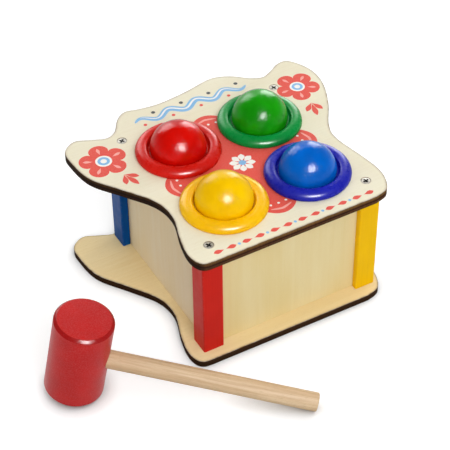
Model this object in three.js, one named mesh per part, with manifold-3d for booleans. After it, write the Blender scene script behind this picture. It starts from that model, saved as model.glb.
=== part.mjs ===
// Ball pounding bench. Two plywood boards of one lobed outline stand on four painted posts.
// Four balls sit in moulded rings in the top board, a ramp inside rolls them out at the open
// back, and a wooden mallet leans on the floor beside the bench.
// Millimetres, +Z up, +Y towards the open back. The origin is the middle of the post frame,
// on the underside of the base board.

import * as THREE from 'three';
import { mergeVertices } from 'three/addons/utils/BufferGeometryUtils.js';
import Module from 'manifold-3d';

const wasm = await Module();
wasm.setup();

// Gap between two pieces cut for each other, and how far a cutter runs past the face it cuts
const fitGap = 0.3;
const cutOverrun = 1;

// Post frame, measured over the posts' outer faces
const frameWidth = 156;
const frameDepth = 156;
const postSide = 17.5;
const postHeight = 96;
const postEdgeRadius = 1.3;

// Boards. The base board sits a little askew under the posts. The outline of both is given in
// shares of the frame's width and depth from its middle: the straight front edge first, then
// round by the right, the back and the left side.
const baseThickness = 6;
const baseShiftAcross = -1.1;
const baseShiftBack = -0.3;
const baseTurn = THREE.MathUtils.degToRad(-0.75);
const topThickness = 7;
const boardOutlineShares = [
  [-0.462, -0.562],
  [0.436, -0.559],
  [0.507, -0.536],
  [0.546, -0.471],
  [0.559, -0.388],
  [0.545, -0.276],
  [0.509, -0.077],
  [0.535, 0.032],
  [0.628, 0.183],
  [0.695, 0.346],
  [0.7, 0.482],
  [0.644, 0.597],
  [0.58, 0.612],
  [0.5, 0.569],
  [0.446, 0.549],
  [0.385, 0.573],
  [0.314, 0.632],
  [0.244, 0.667],
  [0.173, 0.673],
  [0.026, 0.641],
  [-0.135, 0.622],
  [-0.25, 0.634],
  [-0.324, 0.649],
  [-0.385, 0.61],
  [-0.442, 0.529],
  [-0.5, 0.503],
  [-0.577, 0.531],
  [-0.657, 0.559],
  [-0.727, 0.513],
  [-0.74, 0.429],
  [-0.714, 0.259],
  [-0.609, 0.099],
  [-0.512, -0.054],
  [-0.492, -0.192],
  [-0.535, -0.346],
  [-0.554, -0.449],
  [-0.546, -0.52],
  [-0.515, -0.556],
];

// Panels, let into grooves in the posts. A recess is taken from the posts' outer face.
const panelThickness = 4;
const panelGrooveDepth = 4;
const frontPanelRecess = 5.5;
const sidePanelRecess = 7;

// Balls, and how far the middle of each stands above the top board's face
const ballRadius = 22.5;
const ballSeats = [
  { colour: 'red', side: -1, row: 1, rise: 4 },
  { colour: 'green', side: 1, row: 1, rise: 5.7 },
  { colour: 'yellow', side: -1, row: -1, rise: 6 },
  { colour: 'blue', side: 1, row: -1, rise: 4.1 },
];

// Rings: where they stand, and the section of one ring
const ringPitchAcross = 73.6;
const ringPitchBack = 72.9;
const ringsForward = 1.5;
const ringRadius = 34;
const ringFootInset = 2;
const ringRimHeight = 2.3;
const ringCrestHeight = 7.3;
const ringCrestInset = 6.2;
const ringShoulderRise = 3;
const ringLipRound = 2;
const ringFunnelWidth = 1.7;
const ringThroatHeight = 0.4;
const ringThroatGap = 0.3;
const ringSleeveWall = 1.8;
const ringSleeveDrop = 3.2;
const ringBarbWidth = 0.9;

// Ramp inside the bench, with the height of its underside above the base board
const rampThickness = 4;
const rampFrontRise = 24;
const rampBackRise = 1;
const rampBackInset = 3;
const wedgeWidth = 10;
const wedgeInset = 12;
const wedgeToeHeight = 5;

// Countersunk screws, through the boards into the ends of the posts
const screwHeadRadius = 3.6;
const screwHeadDepth = 2.4;
const screwHeadEdge = 0.4;
const screwSink = 0.2;
const screwShankRadius = 1.7;
const screwLength = 25;
const screwTipLength = 4;
const crossLength = 4.4;
const crossWidth = 1;
const crossDepth = 1.4;

// Mallet: a turned head, and a dowel glued into a blind bore in its side
const headRadius = 22.75;
const headLength = 74;
const headChamfer = 2.2;
const handleRadius = 7.2;
const handleReach = 181.5;
const handlePastAxis = 8;
const handleEndChamfer = 0.6;
const malletAcross = -173.5;
const malletForward = 59.5;
const malletTurn = THREE.MathUtils.degToRad(-36.2);

// Facets round each kind of turned piece, and along each stretch of a curve
const ballSides = 28;
const ballBands = 16;
const ringSides = 40;
const ringCurveSteps = 3;
const screwSides = 12;
const headSides = 40;
const handleSides = 24;
const postCornerSteps = 3;
const outlineSteps = 4;

// Derived sizes and heights
const baseTop = baseThickness;
const topUnderside = baseTop + postHeight;
const topFace = topUnderside + topThickness;
const postCentreX = (frameWidth - postSide) / 2;
const postCentreY = (frameDepth - postSide) / 2;
const ringThroatRadius = ballRadius + ringThroatGap;
const ringSleeveRadius = ringThroatRadius + ringSleeveWall;
const ringHoleRadius = ringSleeveRadius + fitGap;

const finishes = {
  palePly: { color: 0xece4c8, roughness: 0.5 },
  warmPly: { color: 0xe3cd9c, roughness: 0.55 },
  panelPly: { color: 0xddd0a6, roughness: 0.55 },
  rampPly: { color: 0xdcc79a, roughness: 0.6 },
  redPaint: { color: 0xc4262b, roughness: 0.35 },
  greenPaint: { color: 0x1e8a1c, roughness: 0.3 },
  yellowPaint: { color: 0xf4c20a, roughness: 0.35 },
  bluePaint: { color: 0x0b5fc0, roughness: 0.3 },
  navyPaint: { color: 0x0d4a8c, roughness: 0.35 },
  redPlastic: { color: 0xd2231c, roughness: 0.2 },
  greenPlastic: { color: 0x0c8a3c, roughness: 0.2 },
  yellowPlastic: { color: 0xf8bf08, roughness: 0.2 },
  bluePlastic: { color: 0x2422a8, roughness: 0.2 },
  malletPaint: { color: 0xb92a2c, roughness: 0.4 },
  dowel: { color: 0xd2b084, roughness: 0.6 },
  zinc: { color: 0xb9bab6, roughness: 0.35, metalness: 0.9 },
};

const bench = new THREE.Group();

function addPiece(name, geometry, finish, place = new THREE.Vector3(), parent = bench) {
  const piece = new THREE.Mesh(geometry, new THREE.MeshStandardMaterial(finishes[finish]));
  piece.name = name;
  piece.position.copy(place);
  parent.add(piece);
  return piece;
}

// A closed geometry as a solid that can be cut
function toSolid(geometry) {
  const bare = geometry.clone();
  bare.deleteAttribute('normal');
  bare.deleteAttribute('uv');
  const welded = mergeVertices(bare);
  const corners = welded.index.array;
  const kept = [];
  for (let i = 0; i < corners.length; i += 3) {
    const [a, b, c] = corners.slice(i, i + 3);
    if (a !== b && b !== c && c !== a) kept.push(a, b, c);
  }
  return new wasm.Manifold(new wasm.Mesh({
    numProp: 3,
    vertProperties: welded.attributes.position.array,
    triVerts: new Uint32Array(kept),
  }));
}

function toGeometry(solid) {
  const mesh = solid.getMesh();
  const geometry = new THREE.BufferGeometry();
  geometry.setAttribute('position', new THREE.BufferAttribute(mesh.vertProperties, 3));
  geometry.setIndex(new THREE.BufferAttribute(mesh.triVerts, 1));
  geometry.computeVertexNormals();
  return geometry;
}

// A geometry with every cutter taken out of it
function cut(geometry, cutters) {
  let solid = toSolid(geometry);
  for (const cutter of cutters) solid = solid.subtract(toSolid(cutter));
  return toGeometry(solid);
}

// A profile of radius and height turned about the Z axis
function turned(profile, sides) {
  return new THREE.LatheGeometry(profile, sides).rotateX(Math.PI / 2);
}

// A shape drawn in Y and Z and extruded along X, to either side of the middle
function extrudedAcross(shape, width) {
  const geometry = new THREE.ExtrudeGeometry(shape, { depth: width, bevelEnabled: false });
  geometry.translate(0, 0, -width / 2);
  const axes = [new THREE.Vector3(0, 1, 0), new THREE.Vector3(0, 0, 1), new THREE.Vector3(1, 0, 0)];
  return geometry.applyMatrix4(new THREE.Matrix4().makeBasis(...axes));
}

function pointsOf(pairs) {
  return pairs.map(([x, y]) => new THREE.Vector2(x, y));
}

function upright(radius, height, sides) {
  return new THREE.CylinderGeometry(radius, radius, height, sides).rotateX(Math.PI / 2);
}

// Screws. A profile runs from the tip on the axis up to the middle of the head at height zero;
// the grown one cuts the seat in the board and the pilot bore in the post.
function screwProfile(grow) {
  const shank = screwShankRadius + grow;
  const head = screwHeadRadius + grow;
  const neck = screwHeadDepth + grow;
  return pointsOf([
    [0, -screwLength - grow],
    [shank, screwTipLength - screwLength - grow],
    [shank, -neck],
    [head, -screwHeadEdge - grow],
    [head, 0],
    [0, 0],
  ]);
}

function screwGeometry() {
  const slot = () => new THREE.BoxGeometry(crossLength, crossWidth, crossDepth * 2);
  return cut(turned(screwProfile(0), screwSides), [slot(), slot().rotateZ(Math.PI / 2)]);
}

// The room a screw takes in the board and post, with the sunk head's seat open to the face
function screwRoom() {
  const profile = screwProfile(fitGap);
  profile.splice(-2, 2, ...pointsOf([
    [screwHeadRadius + fitGap, screwSink + cutOverrun],
    [0, screwSink + cutOverrun],
  ]));
  return turned(profile, screwSides);
}

// Corners of the frame, with how far each top screw was driven off its post's middle, in
// shares of the post's side
const corners = [
  { name: 'front_left', side: -1, back: -1, finish: 'redPaint', driftShares: [0.06, -0.06] },
  { name: 'front_right', side: 1, back: -1, finish: 'yellowPaint', driftShares: [0.1, 0.11] },
  { name: 'back_left', side: -1, back: 1, finish: 'navyPaint', driftShares: [0.02, 0.01] },
  { name: 'back_right', side: 1, back: 1, finish: 'greenPaint', driftShares: [0.06, -0.03] },
];

function cornerPlace(corner, height) {
  return new THREE.Vector3(corner.side * postCentreX, corner.back * postCentreY, height);
}

function topScrewDrift(corner) {
  const [across, back] = corner.driftShares;
  return new THREE.Vector3(across * postSide, back * postSide, 0);
}

// The room of a corner's screw, opening at the outer face of the board it goes through
function topScrewRoom(corner, outerFace) {
  const drift = topScrewDrift(corner);
  return screwRoom().translate(drift.x, drift.y, outerFace - screwSink);
}

function bottomScrewRoom(outerFace) {
  return screwRoom().rotateX(Math.PI).translate(0, 0, outerFace + screwSink);
}

function atCorner(geometry, corner) {
  const place = cornerPlace(corner, 0);
  return geometry.translate(place.x, place.y, 0);
}

// Boards
function boardOutline() {
  const points = boardOutlineShares.map(([across, back]) => (
    new THREE.Vector2(across * frameWidth, back * frameDepth)
  ));
  const [start, frontEnd, ...round] = points;
  const outline = new THREE.Shape();
  outline.moveTo(start.x, start.y);
  outline.lineTo(frontEnd.x, frontEnd.y);
  outline.splineThru([...round, start]);
  return outline;
}

function boardBlank(thickness) {
  return new THREE.ExtrudeGeometry(boardOutline(), {
    depth: thickness,
    bevelEnabled: false,
    curveSegments: outlineSteps,
  });
}

function seatPlace(seat, height) {
  const across = seat.side * ringPitchAcross / 2;
  const back = seat.row * ringPitchBack / 2 - ringsForward;
  return new THREE.Vector3(across, back, height);
}

function ringHole(seat) {
  const hole = upright(ringHoleRadius, topThickness + 2 * cutOverrun, ringSides);
  const place = seatPlace(seat, topThickness / 2);
  return hole.translate(place.x, place.y, place.z);
}

function addBoards() {
  const baseBlank = boardBlank(baseThickness).rotateZ(baseTurn);
  baseBlank.translate(baseShiftAcross, baseShiftBack, 0);
  const baseCutters = corners.map((corner) => atCorner(bottomScrewRoom(0), corner));
  addPiece('base_board', cut(baseBlank, baseCutters), 'warmPly');
  const topScrewRooms = corners.map((corner) => atCorner(topScrewRoom(corner, topThickness), corner));
  const top = cut(boardBlank(topThickness), [...ballSeats.map(ringHole), ...topScrewRooms]);
  addPiece('top_board', top, 'palePly', new THREE.Vector3(0, 0, topUnderside));
}

// Posts
function postSection() {
  const middle = postSide / 2 - postEdgeRadius;
  const quarter = Math.PI / 2;
  const section = new THREE.Shape();
  const quadrants = [[1, 1], [-1, 1], [-1, -1], [1, -1]];
  quadrants.forEach(([x, y], turn) => {
    section.absarc(x * middle, y * middle, postEdgeRadius, turn * quarter, (turn + 1) * quarter);
  });
  return section;
}

// Grooves are cut from the post's inner faces, the full height of the post
function grooveBox(sizeX, sizeY, x, y) {
  const groove = new THREE.BoxGeometry(sizeX, sizeY, postHeight + 2 * cutOverrun);
  return groove.translate(x, y, postHeight / 2);
}

function postGrooves(corner) {
  const width = panelThickness + 2 * fitGap;
  const depth = panelGrooveDepth + cutOverrun;
  const inward = postSide / 2 - panelGrooveDepth + depth / 2;
  const outward = (recess) => postSide / 2 - recess - panelThickness / 2;
  const grooves = [
    grooveBox(width, depth, corner.side * outward(sidePanelRecess), -corner.back * inward),
  ];
  if (corner.back < 0) {
    grooves.push(grooveBox(depth, width, -corner.side * inward, -outward(frontPanelRecess)));
  }
  return grooves;
}

function postBores(corner) {
  return [topScrewRoom(corner, postHeight + topThickness), bottomScrewRoom(-baseThickness)];
}

function addPosts() {
  for (const corner of corners) {
    const blank = new THREE.ExtrudeGeometry(postSection(), {
      depth: postHeight,
      bevelEnabled: false,
      curveSegments: postCornerSteps,
    });
    const post = cut(blank, [...postGrooves(corner), ...postBores(corner)]);
    addPiece(`post_${corner.name}`, post, corner.finish, cornerPlace(corner, baseTop));
  }
}

// Panels
function addPanels() {
  const height = postHeight - fitGap;
  const middleHeight = baseTop + height / 2;
  const inGroove = 2 * (panelGrooveDepth - fitGap);
  const frontSpan = frameWidth - 2 * postSide + inGroove;
  const sideSpan = frameDepth - 2 * postSide + inGroove;
  const front = new THREE.BoxGeometry(frontSpan, panelThickness, height);
  const frontY = -frameDepth / 2 + frontPanelRecess + panelThickness / 2;
  addPiece('front_panel', front, 'panelPly', new THREE.Vector3(0, frontY, middleHeight));
  for (const [name, side] of [['left_panel', -1], ['right_panel', 1]]) {
    const panel = new THREE.BoxGeometry(panelThickness, sideSpan, height);
    const x = side * (frameWidth / 2 - sidePanelRecess - panelThickness / 2);
    addPiece(name, panel, 'panelPly', new THREE.Vector3(x, 0, middleHeight));
  }
}

// Rings. The section is drawn in radius and height above the board's face.
function ringSection() {
  const rim = ringRadius;
  const crest = ringRadius - ringCrestInset;
  const lip = ringThroatRadius + ringFunnelWidth;
  const lipHeight = ringCrestHeight - ringLipRound;
  const sleeveEnd = -topThickness - ringSleeveDrop;
  const barb = ringSleeveRadius + ringBarbWidth;
  const barbTop = -topThickness - fitGap;
  const section = new THREE.Path();
  section.moveTo(ringSleeveRadius, 0);
  section.lineTo(rim - ringFootInset, 0);
  section.quadraticCurveTo(rim, 0, rim, ringRimHeight);
  section.bezierCurveTo(
    rim, ringRimHeight + ringShoulderRise,
    crest + ringShoulderRise, ringCrestHeight,
    crest, ringCrestHeight,
  );
  section.quadraticCurveTo(lip, ringCrestHeight, lip, lipHeight);
  section.quadraticCurveTo(lip, ringThroatHeight, ringThroatRadius, ringThroatHeight);
  section.lineTo(ringThroatRadius, sleeveEnd);
  section.lineTo(ringSleeveRadius, sleeveEnd);
  section.lineTo(barb, barbTop);
  section.lineTo(ringSleeveRadius, barbTop);
  section.lineTo(ringSleeveRadius, 0);
  return section.getPoints(ringCurveSteps);
}

function addRingsAndBalls() {
  for (const seat of ballSeats) {
    const ring = turned(ringSection(), ringSides);
    addPiece(`ring_${seat.colour}`, ring, `${seat.colour}Plastic`, seatPlace(seat, topFace));
    const ball = new THREE.SphereGeometry(ballRadius, ballSides, ballBands).rotateX(Math.PI / 2);
    addPiece(`ball_${seat.colour}`, ball, `${seat.colour}Paint`, seatPlace(seat, topFace + seat.rise));
  }
}

// Ramp and the wedges that carry it, between the posts and behind the front panel
const rampFront = -frameDepth / 2 + frontPanelRecess + panelThickness + fitGap;
const rampBack = frameDepth / 2 - rampBackInset;
const rampWidth = frameWidth - 2 * postSide - 2 * fitGap;
const rampSlope = (rampFrontRise - rampBackRise) / (rampBack - rampFront);

function addRamp() {
  const rise = rampThickness * Math.hypot(1, rampSlope);
  const sheet = new THREE.Shape(pointsOf([
    [rampFront, rampFrontRise],
    [rampBack, rampBackRise],
    [rampBack, rampBackRise + rise],
    [rampFront, rampFrontRise + rise],
  ]));
  addPiece('ramp', extrudedAcross(sheet, rampWidth), 'rampPly', new THREE.Vector3(0, 0, baseTop));
}

function addRampWedges() {
  const heelHeight = rampFrontRise - fitGap;
  const toe = rampFront + (heelHeight - wedgeToeHeight) / rampSlope;
  const profile = new THREE.Shape(pointsOf([
    [rampFront, 0],
    [toe, 0],
    [toe, wedgeToeHeight],
    [rampFront, heelHeight],
  ]));
  for (const [name, side] of [['ramp_wedge_left', -1], ['ramp_wedge_right', 1]]) {
    const x = side * (rampWidth / 2 - wedgeInset - wedgeWidth / 2);
    addPiece(name, extrudedAcross(profile, wedgeWidth), 'rampPly', new THREE.Vector3(x, 0, baseTop));
  }
}

function addScrews() {
  for (const corner of corners) {
    const above = screwGeometry();
    const seat = cornerPlace(corner, topFace - screwSink).add(topScrewDrift(corner));
    addPiece(`screw_top_${corner.name}`, above, 'zinc', seat);
    const below = screwGeometry().rotateX(Math.PI);
    addPiece(`screw_bottom_${corner.name}`, below, 'zinc', cornerPlace(corner, screwSink));
  }
}

// Mallet, drawn with its head upright about the group's origin and its handle along +X. It
// rests on one edge of the head's end and on the far end of the handle, which sets its tilt.
const headEdge = headRadius - headChamfer;
const malletTilt = Math.atan2(
  headLength / 2 - handleRadius,
  handleReach - handleEndChamfer - headEdge,
);
const malletHeight = headLength / 2 * Math.cos(malletTilt) + headEdge * Math.sin(malletTilt);

function chamferedRod(radius, length, chamfer, sides) {
  const half = length / 2;
  return turned(pointsOf([
    [0, -half],
    [radius - chamfer, -half],
    [radius, chamfer - half],
    [radius, half - chamfer],
    [radius - chamfer, half],
    [0, half],
  ]), sides);
}

function addMallet() {
  const mallet = new THREE.Group();
  mallet.position.set(malletAcross, -malletForward, malletHeight);
  mallet.rotation.set(0, malletTilt, malletTurn, 'ZYX');
  bench.add(mallet);

  const boreEnd = handlePastAxis + fitGap;
  const boreLength = boreEnd + headRadius + cutOverrun;
  const bore = upright(handleRadius + fitGap, boreLength, handleSides).rotateY(Math.PI / 2);
  bore.translate(boreLength / 2 - boreEnd, 0, 0);
  const head = cut(chamferedRod(headRadius, headLength, headChamfer, headSides), [bore]);
  addPiece('mallet_head', head, 'malletPaint', undefined, mallet);

  const length = handleReach + handlePastAxis;
  const handle = chamferedRod(handleRadius, length, handleEndChamfer, handleSides);
  handle.rotateY(Math.PI / 2).translate(length / 2 - handlePastAxis, 0, 0);
  addPiece('mallet_handle', handle, 'dowel', undefined, mallet);
}

addBoards();
addPosts();
addPanels();
addRamp();
addRampWedges();
addRingsAndBalls();
addScrews();
addMallet();

export default bench;
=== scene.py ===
import math

import bmesh
import bpy
import numpy as np
from mathutils import Color, Euler, Matrix, Vector, geometry


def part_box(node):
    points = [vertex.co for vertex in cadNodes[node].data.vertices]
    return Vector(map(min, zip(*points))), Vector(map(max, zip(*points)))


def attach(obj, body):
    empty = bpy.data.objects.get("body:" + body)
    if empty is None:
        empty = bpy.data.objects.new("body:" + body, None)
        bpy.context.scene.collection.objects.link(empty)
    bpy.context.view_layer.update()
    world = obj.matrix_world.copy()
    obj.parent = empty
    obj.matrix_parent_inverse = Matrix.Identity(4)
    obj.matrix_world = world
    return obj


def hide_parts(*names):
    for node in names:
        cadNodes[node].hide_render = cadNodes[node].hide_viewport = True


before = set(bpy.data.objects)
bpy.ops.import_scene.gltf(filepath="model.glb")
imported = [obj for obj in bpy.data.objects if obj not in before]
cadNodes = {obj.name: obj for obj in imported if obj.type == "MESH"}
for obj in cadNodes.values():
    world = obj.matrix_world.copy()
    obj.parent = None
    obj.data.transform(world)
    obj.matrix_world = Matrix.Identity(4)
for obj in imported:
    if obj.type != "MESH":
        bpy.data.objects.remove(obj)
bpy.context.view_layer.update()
mm = 0.001
ballColours = ("red", "green", "yellow", "blue")
print("frame loaded,", len(cadNodes), "CAD nodes")


# Small helpers for shader trees

wholeNoise = (0.3, 0.7)         # nearly all that a noise texture puts out
coreNoise = (0.35, 0.65)        # the busy middle of it


def tint(code):
    # a web colour such as "e0504a" as linear RGBA
    parts = [int(code[i:i + 2], 16) / 255 for i in (0, 2, 4)]
    return (*Color(parts).from_srgb_to_scene_linear(), 1.0)


def put(tree, kind, inputs=None, **settings):
    # a node with its settings, and each input linked or given a value
    node = tree.nodes.new("ShaderNode" + kind)
    for key, value in settings.items():
        setattr(node, key, value)
    for key, value in (inputs or {}).items():
        if isinstance(value, bpy.types.NodeSocket):
            tree.links.new(value, node.inputs[key])
        else:
            node.inputs[key].default_value = value
    return node


def calc(tree, operation, first, second=0.0, clamp=False):
    node = put(tree, "Math", {0: first, 1: second}, operation=operation, use_clamp=clamp)
    return node.outputs[0]


def vectorCalc(tree, operation, first, second):
    return put(tree, "VectorMath", {0: first, 1: second}, operation=operation).outputs[0]


def blendColour(tree, factor, first, second, mode="MIX"):
    node = put(tree, "Mix", {0: factor, 6: first, 7: second}, data_type="RGBA", blend_type=mode)
    return node.outputs[2]


def darken(tree, colour, level):
    grey = put(tree, "CombineXYZ", {0: level, 1: level, 2: level}).outputs[0]
    return blendColour(tree, 1.0, colour, grey, "MULTIPLY")


def remap(tree, value, low, high, newLow=0.0, newHigh=1.0):
    inputs = {"Value": value, "From Min": low, "From Max": high, "To Min": newLow, "To Max": newHigh}
    return put(tree, "MapRange", inputs).outputs[0]


def noise(tree, vector, scale, detail):
    return put(tree, "TexNoise", {"Vector": vector, "Scale": scale, "Detail": detail}).outputs[0]


def attribute(tree, name):
    return put(tree, "Attribute", attribute_name=name)


def colourRamp(tree, value, stops):
    node = put(tree, "ValToRGB", {0: value})
    elements = node.color_ramp.elements
    while len(elements) < len(stops):
        elements.new(1.0)
    for element, (position, code) in zip(elements, stops):
        element.position = position
        element.color = tint(code)
    return node.outputs[0]


def newGroup(name, inputs, outputs):
    tree = bpy.data.node_groups.new(name, "ShaderNodeTree")
    for socketName, kind, value in inputs:
        socket = tree.interface.new_socket(socketName, in_out="INPUT", socket_type="NodeSocket" + kind)
        if value is not None:
            socket.default_value = value
    for socketName, kind in outputs:
        tree.interface.new_socket(socketName, in_out="OUTPUT", socket_type="NodeSocket" + kind)
    return tree, tree.nodes.new("NodeGroupInput"), tree.nodes.new("NodeGroupOutput")


def sendOut(tree, out, values):
    for name, value in values.items():
        tree.links.new(value, out.inputs[name])


def useGroup(tree, group, inputs):
    return put(tree, "Group", inputs, node_tree=group)


# Shared effects as node groups. Lengths are in metres, and each noise is its scale and detail.

veneerPattern = {
    "wander": {"Scale": 9.0, "Detail": 2.0}, "wanderReach": (0.0, 0.006, 0.006),
    "streakStretch": (0.022, 1.0, 1.0), "streak": {"Detail": 5.0, "Roughness": 0.62},
    "streakRise": 0.5,
    "poreStretch": (0.075, 1.0, 1.0), "poreNoise": (3600.0, 1.0), "poreBand": (0.63, 0.74),
    "poreRise": -0.6,
    "cloudStretch": (0.3, 1.0, 1.0), "cloudNoise": (26.0, 3.0),
}


def buildVeneerGroup():
    # straight grain along X: soft streaks, fine dark pores, wide clouds and a height
    tree, inside, out = newGroup(
        "veneer",
        [("Vector", "Vector", None), ("Streak Width", "Float", 0.0016), ("Pore Amount", "Float", 0.5)],
        [("Streak", "Float"), ("Pore", "Float"), ("Cloud", "Float"), ("Height", "Float")],
    )
    pattern = veneerPattern
    vector = inside.outputs["Vector"]
    wander = put(tree, "TexNoise", {"Vector": vector, **pattern["wander"]}).outputs["Color"]
    moved = vectorCalc(tree, "ADD", vector, vectorCalc(tree, "MULTIPLY", wander, pattern["wanderReach"]))
    perWidth = calc(tree, "DIVIDE", 1.0, inside.outputs["Streak Width"])
    long = vectorCalc(tree, "MULTIPLY", moved, pattern["streakStretch"])
    streaks = put(tree, "TexNoise", {"Vector": long, "Scale": perWidth, **pattern["streak"]}).outputs[0]
    dashes = vectorCalc(tree, "MULTIPLY", moved, pattern["poreStretch"])
    poreMask = remap(tree, noise(tree, dashes, *pattern["poreNoise"]), *pattern["poreBand"])
    pores = calc(tree, "MULTIPLY", poreMask, inside.outputs["Pore Amount"])
    wide = vectorCalc(tree, "MULTIPLY", moved, pattern["cloudStretch"])
    raised = calc(tree, "MULTIPLY", streaks, pattern["streakRise"])
    sunk = calc(tree, "MULTIPLY", pores, pattern["poreRise"])
    sendOut(tree, out, {
        "Streak": streaks, "Pore": pores, "Cloud": noise(tree, wide, *pattern["cloudNoise"]),
        "Height": calc(tree, "ADD", raised, sunk),
    })
    return tree


burntPattern = {
    "plies": [                  # colours from the lower face to the upper one
        (0.0, "36210e"), (0.08, "52351b"), (0.34, "52341d"), (0.43, "33180a"), (0.5, "250f05"),
        (0.56, "472611"), (0.66, "5f3c1c"), (0.8, "6c4c25"), (0.93, "77572c"), (1.0, "5d401e"),
    ],
    "charred": "2c1600",
    "jitterNoise": (420.0, 3.0), "jitter": 0.035,
    "stripeStretch": (1.0, 1.0, 0.12), "stripeNoise": (900.0, 3.0), "stripeLevels": (0.78, 1.16),
    "patchNoise": (60.0, 2.0), "patchLevels": (0.82, 1.1),
    "endGrainLean": (0.35, 0.8), "endGrainLevels": (1.0, 0.3),
    "sideLean": (0.93, 0.55),
}


def buildBurntEdgeGroup():
    # the laser-cut side of a plywood board: scorched plies, darker on the end grain across X,
    # and how much of the face is side
    tree, inside, out = newGroup(
        "burntEdge",
        [("Vector", "Vector", None), ("Bottom", "Float", 0.0), ("Thickness", "Float", 0.006),
         ("Char", "Float", 0.0)],
        [("Color", "Color"), ("Side", "Float")],
    )
    pattern = burntPattern
    vector = inside.outputs["Vector"]
    height = put(tree, "SeparateXYZ", {0: vector}).outputs[2]
    up = calc(tree, "SUBTRACT", height, inside.outputs["Bottom"])
    share = calc(tree, "DIVIDE", up, inside.outputs["Thickness"])
    jitter = noise(tree, vector, *pattern["jitterNoise"])
    shift = remap(tree, jitter, 0.0, 1.0, -pattern["jitter"], pattern["jitter"])
    plies = colourRamp(tree, calc(tree, "ADD", share, shift), pattern["plies"])
    burn = vectorCalc(tree, "MULTIPLY", vector, pattern["stripeStretch"])
    stripes = remap(tree, noise(tree, burn, *pattern["stripeNoise"]), *wholeNoise, *pattern["stripeLevels"])
    patches = remap(tree, noise(tree, vector, *pattern["patchNoise"]), *coreNoise, *pattern["patchLevels"])
    scorched = darken(tree, plies, calc(tree, "MULTIPLY", stripes, patches))
    facing = put(tree, "SeparateXYZ", {0: put(tree, "NewGeometry").outputs["True Normal"]})
    across = calc(tree, "ABSOLUTE", facing.outputs[0])
    endGrain = remap(tree, across, *pattern["endGrainLean"], *pattern["endGrainLevels"])
    scorched = darken(tree, scorched, endGrain)
    charred = blendColour(tree, inside.outputs["Char"], scorched, tint(pattern["charred"]))
    side = remap(tree, calc(tree, "ABSOLUTE", facing.outputs[2]), *pattern["sideLean"])
    sendOut(tree, out, {"Color": charred, "Side": side})
    return tree


paintPattern = {
    "toneNoise": (55.0, 3.0), "glossNoise": (140.0, 2.0), "peelDetail": 2.0,
    "speckNoise": (3400.0, 1.0), "speckBand": (0.62, 0.72), "speckRise": 0.4,
}


def buildPaintGroup():
    # brushed or dipped paint over wood: slow tone drift, fine orange peel, a few pin specks
    tree, inside, out = newGroup(
        "paintSkin",
        [("Vector", "Vector", None), ("Peel Size", "Float", 0.0012), ("Speck Amount", "Float", 0.3)],
        [("Tone", "Float"), ("Gloss Drift", "Float"), ("Height", "Float")],
    )
    pattern = paintPattern
    vector = inside.outputs["Vector"]
    perPeel = calc(tree, "DIVIDE", 1.0, inside.outputs["Peel Size"])
    peel = noise(tree, vector, perPeel, pattern["peelDetail"])
    speckMask = remap(tree, noise(tree, vector, *pattern["speckNoise"]), *pattern["speckBand"])
    specks = calc(tree, "MULTIPLY", speckMask, inside.outputs["Speck Amount"])
    raised = calc(tree, "MULTIPLY", specks, pattern["speckRise"])
    sendOut(tree, out, {
        "Tone": noise(tree, vector, *pattern["toneNoise"]),
        "Gloss Drift": noise(tree, vector, *pattern["glossNoise"]),
        "Height": calc(tree, "ADD", peel, raised),
    })
    return tree


rubAndShadePattern = {"samples": 4, "edgeBand": (0.995, 0.9), "breakNoise": (520.0, 3.0), "breakBand": (0.42, 0.6)}


def buildEdgeRubAndShadeGroup():
    # 1 along outer edges, broken up: handling wear where it pales the posts, partly pooled paint and partly
    #                                 painted shade where it darkens the mallet
    tree, inside, out = newGroup(
        "edgeRubAndShade",
        [("Vector", "Vector", None), ("Width", "Float", 0.0008)],
        [("Mask", "Float")],
    )
    pattern = rubAndShadePattern
    soft = put(tree, "Bevel", {"Radius": inside.outputs["Width"]}, samples=pattern["samples"]).outputs[0]
    facing = put(tree, "NewGeometry").outputs["Normal"]
    same = put(tree, "VectorMath", {0: soft, 1: facing}, operation="DOT_PRODUCT").outputs["Value"]
    edge = remap(tree, same, *pattern["edgeBand"])
    patchy = noise(tree, inside.outputs["Vector"], *pattern["breakNoise"])
    patchy = remap(tree, patchy, *pattern["breakBand"])
    sendOut(tree, out, {"Mask": calc(tree, "MULTIPLY", edge, patchy)})
    return tree


veneerGroup = buildVeneerGroup()
burntEdgeGroup = buildBurntEdgeGroup()
paintGroup = buildPaintGroup()
edgeRubAndShadeGroup = buildEdgeRubAndShadeGroup()
print("node groups ready")


# Materials. A bump is its distance in metres and its strength, a roughness its ends.

def newMaterial(name):
    material = bpy.data.materials.new(name)
    material.use_nodes = True
    tree = material.node_tree
    tree.nodes.clear()
    return material, tree


def finishMaterial(material, colour, roughness, height, look):
    # the shader with its linked skin; the look's sockets are the same all over
    tree = material.node_tree
    distance, strength = look["bump"]
    skin = put(tree, "Bump", {"Height": height, "Distance": distance, "Strength": strength})
    shader = put(tree, "BsdfPrincipled", {
        "Base Color": colour, "Roughness": roughness, "Normal": skin.outputs[0], **look["sockets"],
    })
    put(tree, "OutputMaterial", {"Surface": shader.outputs[0]})
    return material


def ownPlace(tree):
    return put(tree, "TexCoord").outputs["Object"]


def grainPlace(tree, turn):
    # object coordinates, turned so that X runs along the grain
    return put(tree, "Mapping", {"Vector": ownPlace(tree), "Rotation": turn}).outputs[0]


grainAlong = {
    "x": (0.0, 0.0, 0.0),
    "y": (0.0, 0.0, math.radians(90)),
    "z": (0.0, math.radians(90), 0.0),
}

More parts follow.
